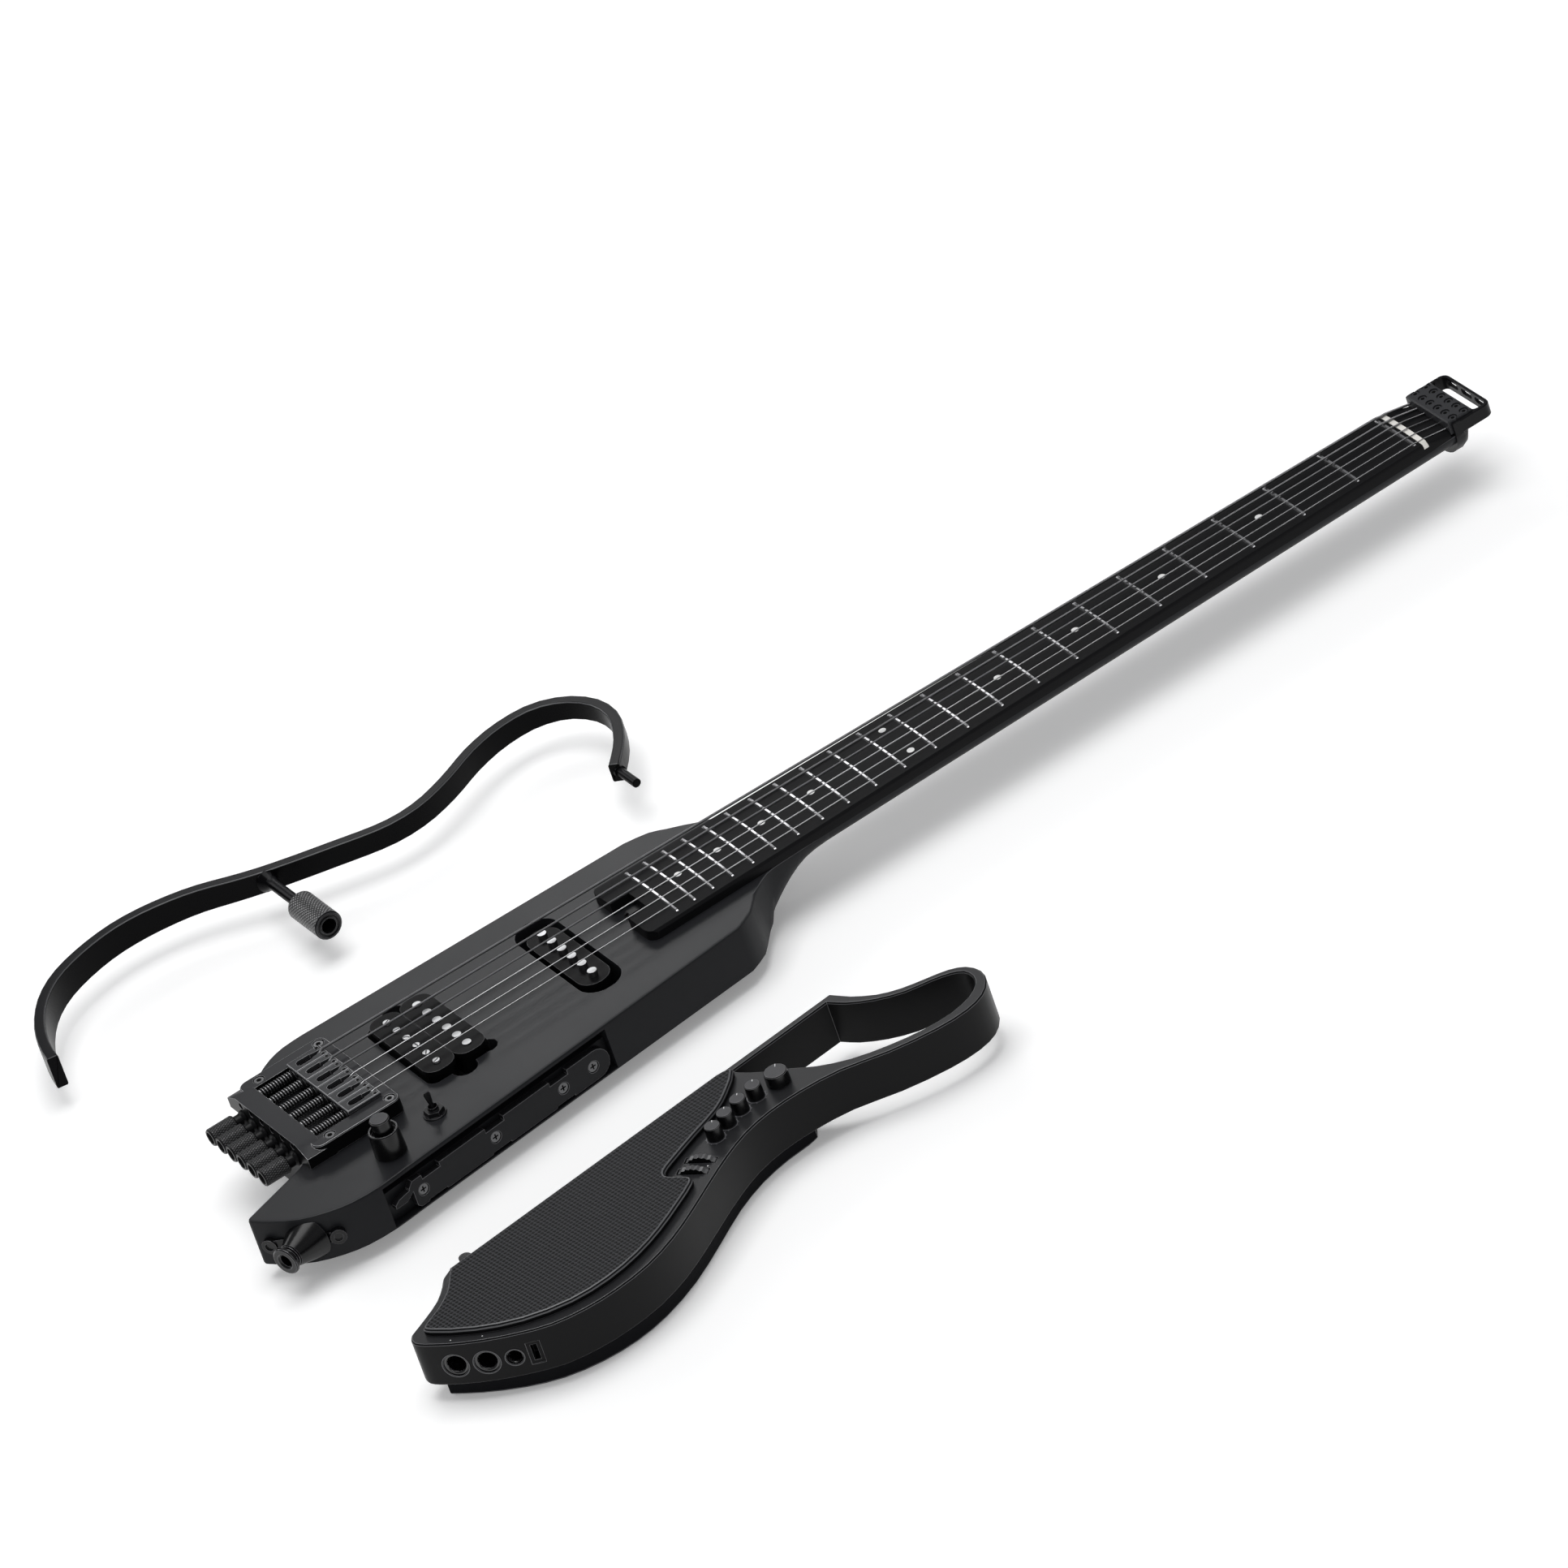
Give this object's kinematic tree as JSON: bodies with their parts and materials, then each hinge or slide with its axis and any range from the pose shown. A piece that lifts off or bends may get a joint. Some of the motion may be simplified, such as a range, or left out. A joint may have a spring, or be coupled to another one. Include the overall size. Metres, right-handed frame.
{
  "type": "travel guitar",
  "caption": "Headless travel guitar taken apart: slim body and neck, clip-on upper frame, clip-on speaker module with handle.",
  "frame": {"origin": "on the flat back of the body, behind the neck pickup, 8 mm to the treble side of the string middle", "axes": "+X along the strings from the bridge to the head, +Y to the bass side where the upper frame clips on, +Z out of the playing face"},
  "size_m": [0.7915, 0.5046, 0.0579],
  "materials": {
    "body_finish": "dark grey satin lacquer over a wooden core",
    "board": "dark close-grained wood, oiled",
    "bone": "white, smooth",
    "steel": "bright steel",
    "black_metal": "black satin plating",
    "grey_metal": "dark grey satin plating",
    "coil_plastic": "black gloss",
    "wire": "plain and wound steel wire",
    "rail_plastic": "dark grey, fine grain",
    "black_plastic": "black, fine grain",
    "knob_plastic": "black, polished",
    "frame_plastic": "black, polished",
    "housing_plastic": "dark grey satin top, black sides",
    "grille_metal": "dark grey perforated sheet",
    "pad_rubber": "dark grey ribbed pad",
    "cone_paper": "black cone in a black basket"
  },
  "bodies": {
    "guitar": {"body_and_neck": "body_finish", "fingerboard": "board", "string_guide": "bone", "truss_rod_nut": "steel", "head_frame": "black_metal", "clamp_block": "grey_metal", "neck_pickup": "coil_plastic", "slug_coil": "coil_plastic", "screw_coil": "coil_plastic", "pickup_plate": "steel", "bridge_base": "grey_metal", "string_1": "wire", "string_2": "wire", "string_3": "wire", "string_4": "wire", "string_5": "wire", "string_6": "wire", "dock_rail": "rail_plastic", "rail_screw_1": "steel", "rail_screw_2": "steel", "rail_screw_3": "steel", "rail_screw_4": "steel", "jack_housing": "black_plastic", "strap_jack": "black_metal", "switch_collar": "black_metal"},
    "upper_frame": {"frame_bar": "frame_plastic"},
    "speaker_module": {"speaker_housing": "housing_plastic", "speaker_grille": "grille_metal", "lower_pad": "pad_rubber", "speaker_driver": "cone_paper"},
    "volume_ring": {"volume_ring": "knob_plastic"},
    "tone_knob": {"tone_knob": "knob_plastic"},
    "switch_lever": {"switch_lever": "black_metal"},
    "thumb_nut": {"thumb_nut": "black_metal"},
    "master_knob": {"master_knob": "knob_plastic"},
    "thumbwheel_1": {"thumbwheel_1": "black_plastic"},
    "thumbwheel_2": {"thumbwheel_2": "black_plastic"},
    "dock_latch": {"dock_latch": "black_plastic"},
    "saddle_1": {"saddle_1": "grey_metal"},
    "saddle_2": {"saddle_2": "grey_metal"},
    "saddle_3": {"saddle_3": "grey_metal"},
    "saddle_4": {"saddle_4": "grey_metal"},
    "saddle_5": {"saddle_5": "grey_metal"},
    "saddle_6": {"saddle_6": "grey_metal"},
    "puller_1": {"puller_1": "black_metal"},
    "puller_2": {"puller_2": "black_metal"},
    "puller_3": {"puller_3": "black_metal"},
    "puller_4": {"puller_4": "black_metal"},
    "puller_5": {"puller_5": "black_metal"},
    "puller_6": {"puller_6": "black_metal"},
    "tuner_1": {"tuner_1": "black_metal"},
    "tuner_2": {"tuner_2": "black_metal"},
    "tuner_3": {"tuner_3": "black_metal"},
    "tuner_4": {"tuner_4": "black_metal"},
    "tuner_5": {"tuner_5": "black_metal"},
    "tuner_6": {"tuner_6": "black_metal"},
    "amp_knob_1": {"amp_knob_1": "knob_plastic"},
    "amp_knob_2": {"amp_knob_2": "knob_plastic"},
    "amp_knob_3": {"amp_knob_3": "knob_plastic"},
    "amp_knob_4": {"amp_knob_4": "knob_plastic"}
  },
  "joints": [
    {"name": "module_dock", "type": "slide", "parent": "guitar", "child": "speaker_module", "axis": [0.0496, 0.9988, 0], "range_m": [0, 0.0883]},
    {"name": "frame_dock", "type": "slide", "parent": "guitar", "child": "upper_frame", "axis": [0, -1, 0], "range_m": [0, 0.0897]},
    {"name": "thumb_nut_turn", "type": "hinge", "parent": "upper_frame", "child": "thumb_nut", "pos_m": [-0.0196, 0.174, 0.014], "axis": [0, 1, 0], "continuous": true},
    {"name": "volume_turn", "type": "hinge", "parent": "guitar", "child": "volume_ring", "pos_m": [-0.106, -0.056, 0.037], "axis": [0, 0, 1], "range_deg": [-150, 150]},
    {"name": "tone_turn", "type": "hinge", "parent": "guitar", "child": "tone_knob", "pos_m": [-0.106, -0.056, 0.045], "axis": [0, 0, 1], "range_deg": [-150, 150]},
    {"name": "switch_tilt", "type": "hinge", "parent": "guitar", "child": "switch_lever", "pos_m": [-0.0746, -0.048, 0.0316], "axis": [1, 0, 0], "range_deg": [0, 26]},
    {"name": "tuner_1_turn", "type": "hinge", "parent": "guitar", "child": "tuner_1", "pos_m": [-0.15, -0.01825, 0.0285], "axis": [1, 0, 0], "range_deg": [-1800, 1800]},
    {"name": "puller_1_draw", "type": "slide", "parent": "guitar", "child": "puller_1", "axis": [1, 0, 0], "range_m": [-0.0035, 0.0035]},
    {"name": "saddle_1_shift", "type": "slide", "parent": "guitar", "child": "saddle_1", "axis": [1, 0, 0], "range_m": [0, 0.002]},
    {"name": "tuner_2_turn", "type": "hinge", "parent": "guitar", "child": "tuner_2", "pos_m": [-0.15, -0.00775, 0.0285], "axis": [1, 0, 0], "range_deg": [-1800, 1800]},
    {"name": "puller_2_draw", "type": "slide", "parent": "guitar", "child": "puller_2", "axis": [1, 0, 0], "range_m": [-0.0035, 0.0035]},
    {"name": "saddle_2_shift", "type": "slide", "parent": "guitar", "child": "saddle_2", "axis": [1, 0, 0], "range_m": [0, 0.002]},
    {"name": "tuner_3_turn", "type": "hinge", "parent": "guitar", "child": "tuner_3", "pos_m": [-0.15, 0.00275, 0.0285], "axis": [1, 0, 0], "range_deg": [-1800, 1800]},
    {"name": "puller_3_draw", "type": "slide", "parent": "guitar", "child": "puller_3", "axis": [1, 0, 0], "range_m": [-0.0035, 0.0035]},
    {"name": "saddle_3_shift", "type": "slide", "parent": "guitar", "child": "saddle_3", "axis": [1, 0, 0], "range_m": [0, 0.002]},
    {"name": "tuner_4_turn", "type": "hinge", "parent": "guitar", "child": "tuner_4", "pos_m": [-0.15, 0.01325, 0.0285], "axis": [1, 0, 0], "range_deg": [-1800, 1800]},
    {"name": "puller_4_draw", "type": "slide", "parent": "guitar", "child": "puller_4", "axis": [1, 0, 0], "range_m": [-0.0035, 0.0035]},
    {"name": "saddle_4_shift", "type": "slide", "parent": "guitar", "child": "saddle_4", "axis": [1, 0, 0], "range_m": [0, 0.002]},
    {"name": "tuner_5_turn", "type": "hinge", "parent": "guitar", "child": "tuner_5", "pos_m": [-0.15, 0.02375, 0.0285], "axis": [1, 0, 0], "range_deg": [-1800, 1800]},
    {"name": "puller_5_draw", "type": "slide", "parent": "guitar", "child": "puller_5", "axis": [1, 0, 0], "range_m": [-0.0035, 0.0035]},
    {"name": "saddle_5_shift", "type": "slide", "parent": "guitar", "child": "saddle_5", "axis": [1, 0, 0], "range_m": [0, 0.002]},
    {"name": "tuner_6_turn", "type": "hinge", "parent": "guitar", "child": "tuner_6", "pos_m": [-0.15, 0.03425, 0.0285], "axis": [1, 0, 0], "range_deg": [-1800, 1800]},
    {"name": "puller_6_draw", "type": "slide", "parent": "guitar", "child": "puller_6", "axis": [1, 0, 0], "range_m": [-0.0035, 0.0035]},
    {"name": "saddle_6_shift", "type": "slide", "parent": "guitar", "child": "saddle_6", "axis": [1, 0, 0], "range_m": [0, 0.002]},
    {"name": "amp_knob_1_turn", "type": "hinge", "parent": "speaker_module", "child": "amp_knob_1", "pos_m": [0.0078, -0.1894, 0.032], "axis": [0, 0, 1], "range_deg": [-150, 150]},
    {"name": "amp_knob_2_turn", "type": "hinge", "parent": "speaker_module", "child": "amp_knob_2", "pos_m": [0.0177, -0.1852, 0.032], "axis": [0, 0, 1], "range_deg": [-150, 150]},
    {"name": "amp_knob_3_turn", "type": "hinge", "parent": "speaker_module", "child": "amp_knob_3", "pos_m": [0.028, -0.1813, 0.032], "axis": [0, 0, 1], "range_deg": [-150, 150]},
    {"name": "amp_knob_4_turn", "type": "hinge", "parent": "speaker_module", "child": "amp_knob_4", "pos_m": [0.0391, -0.1783, 0.032], "axis": [0, 0, 1], "range_deg": [-150, 150]},
    {"name": "master_knob_turn", "type": "hinge", "parent": "speaker_module", "child": "master_knob", "pos_m": [0.0528, -0.1782, 0.032], "axis": [0, 0, 1], "range_deg": [-150, 150]},
    {"name": "thumbwheel_1_turn", "type": "hinge", "parent": "speaker_module", "child": "thumbwheel_1", "pos_m": [-0.0071, -0.1985, 0.02], "axis": [0.766, 0.6428, 0], "range_deg": [-150, 150]},
    {"name": "thumbwheel_2_turn", "type": "hinge", "parent": "speaker_module", "child": "thumbwheel_2", "pos_m": [-0.0147, -0.2031, 0.02], "axis": [0.766, 0.6428, 0], "range_deg": [-150, 150]},
    {"name": "latch_press", "type": "slide", "parent": "speaker_module", "child": "dock_latch", "axis": [0.1132, -0.9936, 0], "range_m": [0, 0.004], "stiffness_N_per_m": 400}
  ],
  "couplings": [
    {"joint": "puller_1_draw", "follows": "tuner_1_turn", "m_per_rad": 0.0001114},
    {"joint": "puller_2_draw", "follows": "tuner_2_turn", "m_per_rad": 0.0001114},
    {"joint": "puller_3_draw", "follows": "tuner_3_turn", "m_per_rad": 0.0001114},
    {"joint": "puller_4_draw", "follows": "tuner_4_turn", "m_per_rad": 0.0001114},
    {"joint": "puller_5_draw", "follows": "tuner_5_turn", "m_per_rad": 0.0001114},
    {"joint": "puller_6_draw", "follows": "tuner_6_turn", "m_per_rad": 0.0001114}
  ]
}
